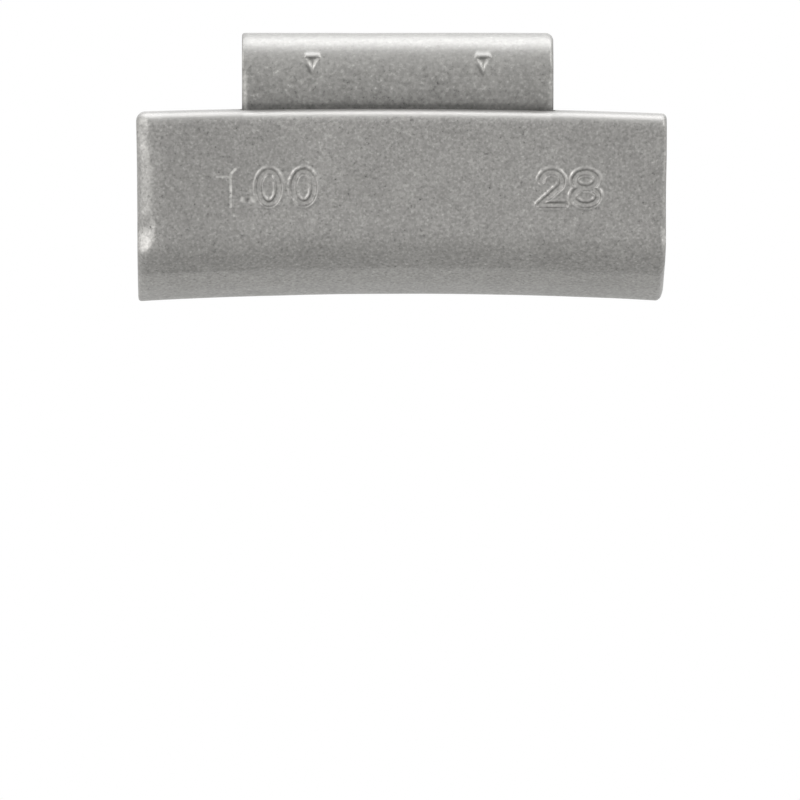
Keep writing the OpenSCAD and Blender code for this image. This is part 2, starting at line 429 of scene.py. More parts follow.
def bar_section(bar, depth, slot):
    """The bar's section as a closed loop of rows: up the back, over the top, down the front and under."""
    shoulder, back, belly = bar["shoulder_r"], bar["back_r"], bar["belly_r"]
    sweep, foot = bar["sweep_r"], bar["foot_r"]
    slot_back, slot_front = slot
    lip = bar["slot_lip"]
    start_of_shoulder = depth - shoulder
    middle = (slot_back + slot_front) / 2
    top_rows = np.concatenate([
        spaced(back, (slot_back - lip, 0.5))[:-1],
        slot_back - lip * np.array([1.0, 0.75, 0.5, 0.25, 0.08, 0.005]),
        [slot_back + 0.01, middle, slot_front - 0.01],
        slot_front + lip * np.array([0.005, 0.08, 0.25, 0.5, 0.75, 1.0]),
    ])
    slope = bar["land_drop"] * (top_rows - middle) / (start_of_shoulder - middle)
    over = np.sqrt(shoulder**2 - np.clip(top_rows - start_of_shoulder, 0.0, shoulder) ** 2)
    top_up = -np.clip(slope, 0.0, bar["land_drop"]) - shoulder + over
    first = math.asin((slot_front + lip - start_of_shoulder) / shoulder)
    turn = math.asin((depth - belly) / (sweep - belly))
    belly_low = sweep - (sweep - belly) * math.cos(turn)
    roll = ramp(12, first + 0.08, math.pi / 2)
    face = spaced(1.0, (0.67, 0.035), (0.2, 0.0062), (0.0, 0.03))
    under = ramp(14, math.pi / 2, math.pi - turn)
    swept = spaced(
        turn, (CREASE_TURN + 0.01, 0.02), (CREASE_TURN - 0.05, 0.007), (math.asin(foot / sweep), 0.026),
    )[:-1]
    behind = np.maximum(CREASE_TURN - swept, 0.0) * sweep
    stepped = bar["crease"] * (1.0 - np.exp(-behind / 0.8)) * smoothstep(0.05, 0.3, swept)
    reach = sweep - stepped
    heel = ramp(6, 0.0, math.pi / 2)
    back_arc = ramp(9, 0.0, math.pi / 2)
    rise = ramp(20, 0.0, 1.0)
    return np.concatenate([
        stretch(0.0, foot, -back, rise, 0.25 + 0.2 * rise, 0.25 + 0.1 * rise),
        stretch(back - back * np.cos(back_arc), 0.0, back * np.sin(back_arc) - back, 1.0,
                0.45 + 0.15 * np.sin(back_arc), 0.35),
        stretch(top_rows, 0.0, top_up, 1.0, 0.62, 0.35),
        stretch(start_of_shoulder + shoulder * np.sin(roll), 0.0,
                shoulder * np.cos(roll) - shoulder - bar["land_drop"], 1.0, 0.62 + 0.28 * np.sin(roll), 0.38),
        stretch(depth, belly_low, -shoulder - bar["land_drop"], face,
                1.35 - 0.45 * smoothstep(0.6, 1.0, face), 0.4)[:-1],
        stretch(depth - belly + belly * np.sin(under), belly_low + belly * np.cos(under), 0.0, 0.0,
                1.35 - 0.5 * smoothstep(math.pi / 2, math.pi - turn, under), 0.42),
        stretch(reach * np.sin(swept), sweep - reach * np.cos(swept), 0.0, 0.0,
                0.25 + 0.6 * smoothstep(0.1, turn, swept), 0.3 + 0.12 * smoothstep(0.1, turn, swept)),
        stretch(foot - foot * np.sin(heel), foot - foot * np.cos(heel), 0.0, 0.0, 0.25, 0.26),
    ])


def bar_columns(bar_l, left_r, right_r):
    """Places along the bar of each column of points, (column, row), and the columns' turn over an end:
    from a quarter turn on the end's flat to none where the end's edge has run out."""
    turns = np.linspace(math.pi / 2, 0.0, 12)
    lead = np.linspace(0.0, 1.0, 4)[1:-1, None]
    (left_a, left_b), (right_a, right_b) = DIGIT_SPANS
    inner = spaced(
        1.5 - bar_l / 2, (left_a, 0.22), (left_b, DENSE_STEP), (right_a, 0.2), (right_b, DENSE_STEP),
        (bar_l / 2 - 0.6, 0.2),
    )
    left_start, right_start = left_r - bar_l / 2, bar_l / 2 - right_r
    left_roll = -bar_l / 2 + left_r * (1.0 - np.sin(turns))[:, None]
    right_roll = bar_l / 2 - right_r * (1.0 - np.sin(turns[::-1]))[:, None]
    x = np.concatenate([
        left_roll,
        left_start + lead * (inner[0] - left_start),
        np.repeat(inner[:, None], len(left_r), axis=1),
        inner[-1] + lead * (right_start - inner[-1]),
        right_roll,
    ])
    quiet = np.zeros(len(x) - 2 * len(turns))
    left_turn = np.concatenate([turns, quiet, np.zeros(len(turns))])
    right_turn = np.concatenate([np.zeros(len(turns)), quiet, turns[::-1]])
    return x, left_turn[:, None], right_turn[:, None]


CAP_SHARES = (0.12, 0.35, 0.65, 0.88, 0.97)


def with_caps(rings):
    """Closes both ends with rings that shrink to the middle of the end's flat."""
    shares = np.array(CAP_SHARES)[:, None, None]
    middle = (rings.min(axis=1, keepdims=True) + rings.max(axis=1, keepdims=True)) / 2
    inner = middle[0] + shares * (rings[0] - middle[0])
    outer = middle[-1] + shares[::-1] * (rings[-1] - middle[-1])
    return np.concatenate([inner, rings, outer])


def cap_marks(values):
    """The numbers of the first and the last ring, repeated for the rings that close the ends."""
    return np.pad(values, ((len(CAP_SHARES), len(CAP_SHARES)), (0, 0)), mode="edge")


# Height, half-length and strength of the pressed facets on each end's upright edge, and of their painted
# highlights
LEFT_FACETS = ((4.0, 1.0, 0.8), (-3.0, 0.85, 1.5))
RIGHT_FACETS = ((-3.1, 0.9, 0.8),)


def facets(z, turn, places, depth):
    """Inset of an end's upright edge over the facets, and the painted highlight on each facet. Each tilts a
    stretch of the edge up: the inset rises from t = -1 to 1 and runs out at 2.5, for t = (z - middle) /
    half-length."""
    shape = np.broadcast(z, turn).shape
    inset, tone = np.zeros(shape), np.zeros(shape)
    for middle, half, strength in places:
        t = (z - middle) / half
        inset += depth * strength * smoothstep(-1.0, 1.0, t) * smoothstep(2.5, 1.0, t)
        # Painted highlight on the facet
        tone += 0.28 * strength * np.exp(-(t**4))
    on_edge = smoothstep(0.0, 0.5, turn) * smoothstep(1.5, 1.0, turn)
    return inset * on_edge, tone * smoothstep(0.15, 0.5, turn)


def drawn_in(x, z, z_top, bar):
    """How far a point near either end moves along the bar: the ends draw in towards the foot, by amounts that
    depend on the height only."""
    half_l = (BAR_HIGH.x - BAR_LOW.x) / MM / 2
    down = np.clip(0.5 - z / (2 * z_top), 0.0, 1.0)
    lean = bar["left_lean"] * (1.0 - np.exp(-down / 0.35))
    draw = smoothstep(0.0, 1.0, (bar["foot_h"] - z - z_top) / bar["foot_h"]) * bar["foot_in"]
    draw = draw + bar["right_lean"] * smoothstep(0.2, 0.5, down)
    return lean * smoothstep(3.0 - half_l, -half_l, x) - draw * smoothstep(half_l - 3.0, half_l, x)


def bar_marks(bar, x, z, out_z, turn, before_clip, mouth, added):
    """The bar's marks. The painted light and shade, as a share to add, is painted shade in the slot's mouth,
    a darker painted reflection low on the belly, a lighter painted reflection on the sweep behind it, painted
    highlights on the shoulder, strongest in front of the clip, and slightly darker towards both ends. The
    shoulder is less grainy, like the sweep. Only the darkening towards the ends is left where the turn over
    an end comes to its flat."""
    crown_z = -BAR_HIGH.z / MM - bar["low_drop"]
    over_foot = z - edge_height(x, bar["lower_crown"], crown_z, bar["lower_edge_r"], 0.0)
    sweep = smoothstep(2.05, 1.6, over_foot)
    belly = smoothstep(3.6, 2.7, over_foot) * (1.0 - sweep)
    ends = 0.08 * smoothstep(-8.0, -16.0, x) * (1.0 - sweep) - 0.07 * smoothstep(-16.6, -17.3, x)
    ends = ends + 0.03 * smoothstep(8.0, 14.0, x)
    shoulder = smoothstep(0.25, 0.65, out_z)
    # Painted shade in the slot's mouth and low on the belly, a painted reflection on the sweep, and painted
    # highlights on the shoulder
    tone = 0.1 * sweep - 0.045 * belly - 0.5 * mouth + shoulder * (0.05 + 0.25 * before_clip) + added
    skin = smoothstep(1.5, 0.9, turn)
    smooth = np.maximum(0.12 * sweep, 0.9 * shoulder)
    return {"tone": cap_marks(tone * skin - ends), "smooth": cap_marks(smooth * skin)}


def clip_place():
    """Half the width and the middle of the strip along the bar, with its left edge trimmed."""
    trim = bpy.context.scene.weight_clip.left_trim / MM
    return (CLIP_HIGH.x - CLIP_LOW.x) / MM / 2 - trim / 2, (CLIP_HIGH.x + CLIP_LOW.x) / MM / 2 + trim / 2


def in_slot(bar, x, row_depth, slot):
    """How far points of the top lie inside the slot's span along the bar, and inside the slot itself."""
    clip_half, clip_x = clip_place()
    in_span = clip_half + bar["slot_gap"] - np.abs(x - clip_x)
    return in_span, np.minimum(in_span, (slot[1] - slot[0]) / 2 - np.abs(row_depth - sum(slot) / 2))


def bar_rings(bar):
    """The bar's skin: its section carried along X between the arcs of its two edges, rolled over both ends,
    with the clip's slot sunk in its top and the digits pressed into its face. Also its marks."""
    bar_l = (BAR_HIGH.x - BAR_LOW.x) / MM
    depth = -BAR_LOW.y / MM
    z_top = BAR_HIGH.z / MM
    slot_front, clip_t = -CLIP_LOW.y / MM, bpy.context.scene.weight_clip.strip_t / MM
    slot = (slot_front - clip_t, slot_front)
    rows = bar_section(bar, depth, slot)
    row_depth, low, up, upper, left_r, right_r = rows.T
    x, left_turn, right_turn = bar_columns(bar_l, left_r, right_r)
    lower_z = edge_height(x, bar["lower_crown"], -z_top - bar["low_drop"], bar["lower_edge_r"], low)
    upper_z = edge_height(x, bar["upper_crown"], z_top - bar["top_trim"], bar["upper_edge_r"], up)
    z = upper * upper_z + (1.0 - upper) * lower_z
    y = np.broadcast_to(-row_depth, x.shape).copy()
    out_y, out_z = outward(y, z)
    around = np.cumsum(np.hypot(*(np.roll(rows[:, k], -1) - rows[:, k] for k in (0, 1))))
    inset = left_r * (1.0 - np.cos(left_turn)) + right_r * (1.0 - np.cos(right_turn))
    inset = inset + waves(x, around, bar["wave"], 7) * smoothstep(1.0, 0.7, out_z)
    left_facet, left_facet_glint = facets(z, left_turn, LEFT_FACETS, bar["facet"])
    right_facet, right_facet_glint = facets(z, right_turn, RIGHT_FACETS, bar["facet"])
    inset = inset + left_facet + right_facet
    in_front_plane = row_depth > depth - 1e-6
    on_face = smoothstep(0.0, 0.06, upper) * smoothstep(1.0, 0.94, upper) * in_front_plane
    stamp_height, stamp_painted_light = stamp(x, z, bar)
    set_back = bar["stroke_lip"] * smoothstep(0.0, 0.25, upper) * smoothstep(1.0, 0.8, upper)
    pressed = on_face * stamp_height + set_back * in_front_plane
    y -= out_y * inset
    z = z - out_z * inset
    y = y + pressed
    in_span, inside = in_slot(bar, x, row_depth, slot)
    lip = bar["slot_lip"]
    mouth = lip - np.sqrt(lip**2 - np.clip(inside + lip, 0.0, lip) ** 2)
    sunk = np.where(inside > 0.0, bar["slot_depth"], mouth)
    z = z - np.where((up > -bar["shoulder_r"]) & (upper == 1.0) & (row_depth > bar["back_r"]), sunk, 0.0)
    in_corner = np.clip((x - bar_l / 2 + bar["corner_w"]) / bar["corner_w"], 0.0, 1.0)
    lift = bar["corner_h"] * (1.0 - np.sqrt(1.0 - in_corner**2))
    z = z + lift * smoothstep(3.0 - z_top, -z_top, z)
    in_front = (row_depth > slot_front) & (out_z > 0.0)
    # The marks get painted shade in the slot's mouth, painted highlights on the shoulder in front of the
    # clip, and the digits' and the facets' painted light and shade
    marks = bar_marks(
        bar, x, z, out_z, left_turn + right_turn,
        before_clip=smoothstep(0.0, 0.4, in_span) * in_front,
        mouth=smoothstep(-0.05, 0.02, inside) * in_front,
        added=on_face * stamp_painted_light + left_facet_glint + right_facet_glint,
    )
    rings = with_caps(np.stack([x, y, z], axis=-1))
    rings[..., 0] += drawn_in(rings[..., 0], rings[..., 2], z_top, bar)
    return rings, marks


def clip_path(clip, z_foot, z_bend, z_clip, leg_y):
    """The middle of the strip from the leg's foot over the bend to the hook's tip: y, z, the outward normal
    and the place along the strip's outer side, counted from the bend's start."""
    t, bend, hook = clip["strip_t"], clip["bend_r"], clip["hook_r"]
    tip_roll = clip["edge_r"] * 0.6
    dent = bend * clip["dent_angle"]
    leg = spaced(z_foot + tip_roll, (z_bend - 3.0, 0.6), (z_bend - 0.3, 0.22))[:, None]
    up_bend = spaced(-0.3, (dent + 0.95, 0.048), (bend * math.pi / 2, 0.16))
    turn = np.maximum(up_bend, 0.0) / bend
    end = clip["hook_angle"] - tip_roll / (hook - t / 2)
    over = spaced(0.0, (end, 0.028))[1:]
    centre_y = leg_y + bend
    none = np.zeros_like(leg)
    leg_rows = np.concatenate([none + leg_y + t / 2, leg, none - 1.0, none, leg - z_bend], axis=1)[:-1]
    angle = math.pi - turn
    mid = bend - t / 2
    bend_rows = np.stack([
        centre_y + mid * np.cos(angle), z_bend + np.minimum(up_bend, 0.0) + mid * np.sin(angle),
        np.cos(angle), np.sin(angle), up_bend,
    ], axis=1)
    sweep = math.pi / 2 - over
    hook_mid = hook - t / 2
    hook_rows = np.stack([
        centre_y + hook_mid * np.cos(sweep), z_clip - hook + hook_mid * np.sin(sweep),
        np.cos(sweep), np.sin(sweep), bend * math.pi / 2 + hook * over,
    ], axis=1)
    return np.concatenate([leg_rows, bend_rows, hook_rows])


def corner(count, centre_x, centre_n, radius, start):
    """Quarter circles of the strip's section, clockwise from the angle start, (ring, point, xn)."""
    a = start - ramp(count, 0.0, math.pi / 2)
    across = centre_x[:, None] + radius[:, None] * np.cos(a)
    return np.stack([across, centre_n[:, None] + radius[:, None] * np.sin(a)], axis=-1)


def side_run(start, end, shares):
    """Points from start to end at the given shares of the way, (ring, point, xn)."""
    return start[:, None] + shares[None, :, None] * (end - start)[:, None]


def strip_section(clip, q, half_w):
    """The strip's section at each place q along it: a flat with rounded edges, whose outer edges the bend
    rounds more. The loop runs along the outer side from left to right and back on the inner side."""
    half_t, edge = clip["strip_t"] / 2, clip["edge_r"]
    crest = clip["bend_r"] * math.pi / 2
    near = np.exp(-(((q - crest) / 1.7) ** 2))
    on_leg, thin = smoothstep(0.5, -0.2, q), clip["bend_edge_r"]
    left = thin + (clip["left_r"] - thin) * near + (clip["leg_edge_r"] - thin) * on_leg
    right = edge + (clip["right_r"] - edge) * near + (clip["leg_edge_r"] - edge) * on_leg
    inner = np.full_like(q, edge)
    dent_x = clip["dent_pitch"] / 2
    dense = spaced(-half_w + 1.0, (-dent_x - 1.0, 0.35), (-dent_x + 1.0, 0.048), (dent_x - 1.0, 0.35),
                   (dent_x + 1.0, 0.048), (half_w - 1.0, 0.35))
    outer_left = np.stack([-half_w + left, np.full_like(q, half_t)], axis=-1)
    outer_right = np.stack([half_w - right, np.full_like(q, half_t)], axis=-1)
    flat = np.stack(np.broadcast_arrays(dense[None, :], half_t), axis=-1)
    flat = np.repeat(flat, len(q), axis=0)
    low_right = np.stack([half_w - inner, np.full_like(q, -half_t)], axis=-1)
    low_left = np.stack([-half_w + inner, np.full_like(q, -half_t)], axis=-1)
    side_right = (np.stack([np.full_like(q, half_w), half_t - right], axis=-1),
                  np.stack([np.full_like(q, half_w), inner - half_t], axis=-1))
    side_left = (np.stack([np.full_like(q, -half_w), inner - half_t], axis=-1),
                 np.stack([np.full_like(q, -half_w), half_t - left], axis=-1))
    loop = np.concatenate([
        side_run(outer_left, flat[:, 0], ramp(3, 0.0, 1.0)),
        flat[:, :-1],
        side_run(flat[:, -1], outer_right, ramp(3, 0.0, 1.0)),
        corner(9, half_w - right, half_t - right, right, math.pi / 2),
        side_run(*side_right, ramp(4, 0.0, 1.0)),
        corner(5, half_w - inner, inner - half_t, inner, 0.0),
        side_run(low_right, low_left, ramp(60, 0.0, 1.0)),
        corner(5, inner - half_w, inner - half_t, inner, -math.pi / 2),
        side_run(*side_left, ramp(4, 0.0, 1.0)),
        corner(9, left - half_w, half_t - left, left, -math.pi),
    ], axis=1)
    return loop, 3 + len(dense) - 1 + 3


def dent_relief(x, above, clip):
    """Height of the strip's outer side round one dent: a pit over a triangle that points down from the
    origin, steep under its upper edge and sloping from its sides, a raised bar over the upper edge and a low
    lip at the sides. Also the painted light and shade: painted shade in a wedge under the bar, a painted
    highlight on the bar, painted highlights on the slopes beside the wedge, and painted shade beside the
    point, on its left."""
    half, tall = clip["dent_w"] / 2, clip["dent_h"]
    beside = (tall * np.abs(x) - half * (above + tall)) / math.hypot(tall, half)
    pit = np.minimum(smoothstep(0.02, 0.12, -above), np.clip(-beside / 0.32, 0.0, 1.0))
    bar = np.exp(-((np.maximum(above, 0.0) / 0.28) ** 2)) * smoothstep(-0.12, 0.0, above)
    bar = bar * smoothstep(half + 0.12, half - 0.1, np.abs(x))
    rim = np.exp(-(((beside - 0.06) / 0.1) ** 2)) * smoothstep(0.1, -0.1, above)
    under = smoothstep(0.04, -0.06, above)
    wedge = smoothstep(0.05, -0.04, np.abs(x) - 0.27 * (1.0 + above / 0.68))
    slopes = smoothstep(0.1, -0.02, beside) * smoothstep(-0.1, -0.4, above) * smoothstep(-0.85, -0.65, above)
    point = np.exp(-(((beside - 0.15) / 0.12) ** 2)) * smoothstep(0.3, -0.1, x)
    point = point * smoothstep(-0.4, -0.75, above) * smoothstep(-1.45, -1.2, above)
    # Painted shade in the wedge and beside the point, painted highlights on the slopes and on the bar
    tone = under * (0.16 * slopes * (1.0 - wedge) - 0.25 * wedge) - 0.4 * point + 0.12 * bar
    return clip["dent_lip"] * (bar + 0.15 * rim) - clip["dent_depth"] * pit, tone


def painted_foot_shade(above):
    """How dark the painted shade makes the leg at a height above the bar, next to the bar's top: a long fade
    and a narrow line at the foot.
    """
    fade = 0.63 * np.exp(-np.maximum(above, 0.0) / 0.95)
    return fade + 0.18 * np.exp(-(((above - 0.26) / 0.15) ** 2))


def clip_marks(clip, place, x, half_w, dent_painted_light):
    """The clip's marks. The painted light and shade, as a share to add, is the dents' own, with painted shade
    that turns dark down to the leg's foot, painted highlights at the leg's two upright edges, painted shade
    along the crest and at its left edge, and a painted highlight at its right edge. The grain fades towards
    the crest."""
    z_clip, leg_y = CLIP_HIGH.z / MM, CLIP_LOW.y / MM
    z_bend = z_clip - clip["bend_r"]
    z = place[..., 2]
    bar = mm(bpy.context.scene.weight_bar)
    land = BAR_HIGH.z / MM - bar["top_trim"] - bar["land_drop"]
    land_z = edge_height(place[..., 0], bar["upper_crown"], land, bar["upper_edge_r"], 0.0)
    on_leg = smoothstep(z_bend + 0.5, z_bend - 0.5, z) * (place[..., 1] < leg_y + clip["strip_t"] + 0.1)
    # Painted highlights on the leg's two upright edges
    upright = 0.2 * smoothstep(0.5 - half_w, 0.25 - half_w, x)
    upright = upright + 0.1 * smoothstep(half_w - 0.55, half_w - 0.3, x)
    # Painted shade down to the leg's foot, next to the bar's top
    tone = dent_painted_light + on_leg * (upright - painted_foot_shade(z - land_z + 0.02))
    # Painted shade along the crest's top
    tone = tone - 0.05 * smoothstep(z_clip - 0.6, z_clip - 0.35, z)
    # Painted highlight at the crest's right edge, painted shade at its left edge
    painted_crest_sides = smoothstep(half_w - 0.35, half_w - 0.15, x) - smoothstep(0.4 - half_w, 0.2 - half_w, x)
    tone = tone + 0.15 * painted_crest_sides * smoothstep(z_clip - 1.3, z_clip - 0.5, z)
    smooth = 0.65 * smoothstep(z_clip - 3.2, z_clip - 0.8, z)
    return {"tone": cap_marks(tone), "smooth": cap_marks(smooth)}


def clip_rings(clip):
    """The clip's skin: the strip's section carried along its path, rolled over at both ends, with two dents.
    Also its marks."""
    z_foot, z_clip = CLIP_LOW.z / MM, CLIP_HIGH.z / MM
    leg_y = CLIP_LOW.y / MM
    half_w, clip_x = clip_place()
    z_bend = z_clip - clip["bend_r"]
    path = clip_path(clip, z_foot, z_bend, z_clip, leg_y)
    roll = clip["edge_r"] * 0.6
    turns = np.linspace(0.0, math.pi / 2, 7)[1:]
    foot = path[0] - np.outer(roll * np.sin(turns[::-1]), [0, 1, 0, 0, 1])
    tangent = np.array([path[-1, 3], -path[-1, 2], 0.0, 0.0, 1.0])
    tip = path[-1] + np.outer(roll * np.sin(turns), tangent)
    path = np.concatenate([foot, path, tip])
    y, z, out_y, out_z, q = path.T
    loop, outer_count = strip_section(clip, q, half_w)
    x, n = loop[..., 0], loop[..., 1]
    # This loop runs clockwise, so that its right side is its inside
    out_x, out_n = np.negative(outward(x, n))
    inset = np.zeros(len(path))
    inset[: len(turns)] = roll * (1.0 - np.cos(turns[::-1]))
    inset[-len(turns):] = roll * (1.0 - np.cos(turns))
    inset = inset[:, None] + waves(x, q[:, None], clip["wave"], 11) * smoothstep(-5.0, -3.5, q)[:, None]
    relief, dent_painted_light = np.zeros_like(x), np.zeros_like(x)
    dent_q = clip["bend_r"] * clip["dent_angle"] + clip["dent_up"]
    for side in (-1, 1):
        from_dent = x - side * clip["dent_pitch"] / 2
        height, tone = dent_relief(from_dent, q[:, None] - dent_q, clip)
        relief += np.where(np.abs(from_dent) < 1.3, height, 0.0)
        dent_painted_light += np.where(np.abs(from_dent) < 1.3, tone, 0.0)
    relief[:, outer_count:] = 0.0
    dent_painted_light[:, outer_count:] = 0.0
    x = x - out_x * inset
    n = n - out_n * inset + relief
    place = np.stack([clip_x + x, y[:, None] + n * out_y[:, None], z[:, None] + n * out_z[:, None]], axis=-1)
    return with_caps(place), clip_marks(clip, place, x, half_w, dent_painted_light)


class NodeTree:
    """Short calls that add and join a material's nodes."""

    def __init__(self, tree):
        self.tree = tree
        tree.nodes.clear()

    def add(self, kind, inputs=(), **settings):
        """A node with its settings and inputs: a number or colour is set, and an output is linked."""
        node = self.tree.nodes.new(kind)
        for name, value in settings.items():
            setattr(node, name, value)
        for name, value in dict(inputs).items():
            if isinstance(value, bpy.types.NodeSocket):
                self.tree.links.new(value, node.inputs[name])
            else:
                node.inputs[name].default_value = value
        return node

    def maths(self, operation, first, second=0.0, clamp=False):
        """The output of one sum on two numbers."""
        node = self.add("ShaderNodeMath", {0: first, 1: second}, operation=operation, use_clamp=clamp)
        return node.outputs[0]

    def between(self, value, low, high):
        """A value from 0 to 1 carried to low to high."""
        return self.add("ShaderNodeMapRange", {"Value": value, "To Min": low, "To Max": high}).outputs[0]


def coat_material(name, colour, flake, contrast, coat):
    """The silver-grey coat: flakes that each lean and shine a little differently, under a fine orange peel,
    with the marks' painted light and shade in its colour. The speckle's value is 1 + contrast (d + 60 d^3),
    for noise that is d over its middle: few specks stand out."""
    material = bpy.data.materials.new(name)
    material.use_nodes = True
    t = NodeTree(material.node_tree)
    place = t.add("ShaderNodeTexCoord").outputs["Object"]
    flake_scale = 1.0 / flake
    grain_scale = 1.0 / (coat["grain"] * MM)
    flakes = t.add("ShaderNodeTexVoronoi", {"Vector": place, "Scale": flake_scale}, feature="SMOOTH_F1")
    flakes.inputs["Smoothness"].default_value = 0.6
    shade = t.add("ShaderNodeSeparateColor", {"Color": flakes.outputs["Color"]})
    speckle = t.add("ShaderNodeTexNoise", {
        "Vector": place, "Scale": flake_scale * 0.8, "Detail": 2.0, "Roughness": 0.6,
    })
    mottle = t.add("ShaderNodeTexNoise", {
        "Vector": place, "Scale": 1.0 / (coat["mottle"] * MM), "Detail": 4.0, "Roughness": 0.65,
    })
    over = t.maths("SUBTRACT", speckle.outputs[0], 0.5)
    specks = t.maths("ADD", over, t.maths("MULTIPLY", t.maths("POWER", over, 3.0), 60.0))
    value = t.maths("ADD", 1.0, t.maths("MULTIPLY", specks, contrast))
    value = t.maths("MULTIPLY", value, t.between(shade.outputs[0], 0.84, 1.16))
    uneven = 0.45 * contrast
    value = t.maths("MULTIPLY", value, t.between(mottle.outputs[0], 1.0 - uneven, 1.0 + uneven))
    smooth = t.add("ShaderNodeAttribute", attribute_name="smooth").outputs["Fac"]
    value = t.add("ShaderNodeMix", {"Factor": smooth, "A": value, "B": 1.0}).outputs[0]
    # The marks' painted light and shade scales the coat's colour: painted highlights and painted shade, not
    # the coat's own colour
    tone = t.add("ShaderNodeAttribute", attribute_name="tone").outputs["Fac"]
    value = t.maths("MULTIPLY", value, t.maths("ADD", 1.0, tone))
    tint = t.add("ShaderNodeVectorMath", {0: colour, "Scale": value}, operation="SCALE").outputs[0]
    rough = t.between(shade.outputs[1], coat["roughness"] - 0.08, coat["roughness"] + 0.08)
    rough = t.add("ShaderNodeMix", {"Factor": smooth, "A": rough, "B": coat["roughness"]}).outputs[0]
    peel = t.add("ShaderNodeTexNoise", {
        "Vector": place, "Scale": grain_scale, "Detail": 3.0, "Roughness": 0.7,
    })
    rough_share = t.maths("SUBTRACT", 1.0, smooth)
    bump = t.add("ShaderNodeBump", {
        "Height": peel.outputs[0], "Strength": t.maths("MULTIPLY", rough_share, 0.35), "Distance": 0.03 * MM,
    })
    lean = t.add("ShaderNodeBump", {
        "Height": shade.outputs[2], "Strength": t.maths("MULTIPLY", rough_share, 0.4), "Distance": 0.012 * MM,
        "Normal": bump.outputs[0],
    })
    shader = t.add("ShaderNodeBsdfPrincipled", {
        "Base Color": tint, "Roughness": rough, "Normal": lean.outputs[0], "Metallic": coat["metallic"],
    })
    t.add("ShaderNodeOutputMaterial", {"Surface": shader.outputs[0]})
    return material


def seen_directly(t):
    """1 for a camera, glossy or transmission ray, and 0 for any other."""
    path = t.add("ShaderNodeLightPath").outputs
    sharp = t.maths("ADD", path["Is Glossy Ray"], path["Is Transmission Ray"])
    return t.maths("ADD", path["Is Camera Ray"], sharp, clamp=True)


# Place on the floor, in metres, round which it keeps its shadow
SHADOW_PLACE = (0.0, -0.03, 0.0)


def floor_material():
    """A pale floor that shows white where it is seen, less so near the object, where it keeps its shadow."""
    material = bpy.data.materials.new("Pale floor")
    material.use_nodes = True
    t = NodeTree(material.node_tree)
    place = t.add("ShaderNodeTexCoord").outputs["Object"]
    away = t.add("ShaderNodeVectorMath", {0: place, 1: SHADOW_PLACE}, operation="DISTANCE")
    white = t.add("ShaderNodeMapRange", {
        "Value": away.outputs["Value"], "From Min": 0.03, "From Max": 0.25, "To Min": 0.15, "To Max": 1.0,
    }).outputs[0]
    matt = t.add("ShaderNodeBsdfDiffuse", {"Color": (0.5, 0.5, 0.49, 1.0)}).outputs[0]
    glow = t.add("ShaderNodeEmission", {"Strength": 1.0}).outputs[0]
    seen = t.maths("MULTIPLY", seen_directly(t), white)
    top = t.add("ShaderNodeMixShader", {0: seen, 1: matt, 2: glow}).outputs[0]
    under = t.add("ShaderNodeBsdfTransparent").outputs[0]
    back = t.add("ShaderNodeNewGeometry").outputs["Backfacing"]
    both = t.add("ShaderNodeMixShader", {0: back, 1: top, 2: under}).outputs[0]
    t.add("ShaderNodeOutputMaterial", {"Surface": both})
    return material


def make_floor(height):
    """A round floor, as rings and spokes about the Z axis at the given height in metres."""
    radii, angles = np.linspace(0.02, 1.5, 24), np.linspace(0, 2 * math.pi, 65)[:-1]
    rings = np.stack([
        radii[:, None] * np.cos(angles), radii[:, None] * np.sin(angles), np.zeros((len(radii), len(angles))),
    ], axis=-1)
    points = np.concatenate([rings.reshape(-1, 3), [[0.0, 0.0, 0.0]]])
    j = np.arange(len(angles))
    fan = np.stack([np.full(len(angles), len(points) - 1), j, (j + 1) % len(angles)], axis=1)
    mesh = bpy.data.meshes.new("floor")
    mesh.from_pydata(points.tolist(), [], grid_faces(len(radii), len(angles)).tolist() + fan.tolist())
    mesh.materials.append(floor_material())
    floor = bpy.data.objects.new("floor", mesh)
    floor.location.z = height
    bpy.context.scene.collection.objects.link(floor)


def make_sky(strength):
    """White where it is seen, and a soft even light of the given strength otherwise."""
    world = bpy.data.worlds.new("Plain studio")
    bpy.context.scene.world = world
    world.use_nodes = True
    t = NodeTree(world.node_tree)
    level = t.between(seen_directly(t), strength, 1.0)
    sky = t.add("ShaderNodeBackground", {"Color": (1.0, 1.0, 1.0, 1.0), "Strength": level}).outputs[0]
    t.add("ShaderNodeOutputWorld", {"Surface": sky})
    world.cycles.sampling_method = "NONE"


# Each lamp's name, place, width and depth in metres, the setting of its brightness, and its colour
LAMPS = (
    ("Top lamp", (0.0, 0.1, 0.5), 0.8, 0.4, "top_light", COOL),
    ("Back lamp", (0.0, 0.47, 0.37), 0.8, 0.4, "back_light", COOL),
    ("Left lamp", (-0.5, -0.24, 0.1), 0.8, 0.4, "left_light", WHITE),
    ("Right lamp", (0.6, -0.1, 0.12), 0.4, 0.4, "right_light", WHITE),
    ("Left front lamp", (-0.407, -0.275, 0.344), 0.2, 0.2, "front_light", WHITE),
    ("Right front lamp", (0.407, -0.275, 0.344), 0.2, 0.2, "front_light", WHITE),
)


def make_lamp(name, place, width, depth, brightness, colour):
    """A soft lamp turned to the origin. Its power is brightness * pi * area."""
    lamp = bpy.data.lights.new(name, "AREA")
    lamp.shape = "RECTANGLE"
    lamp.size, lamp.size_y = width, depth
    lamp.energy = brightness * math.pi * width * depth
    lamp.color = colour
    holder = bpy.data.objects.new(name, lamp)
    holder.location = place
    holder.rotation_euler = (-Vector(place)).to_track_quat("-Z", "Y").to_euler()
    holder.visible_camera = False
    bpy.context.scene.collection.objects.link(holder)


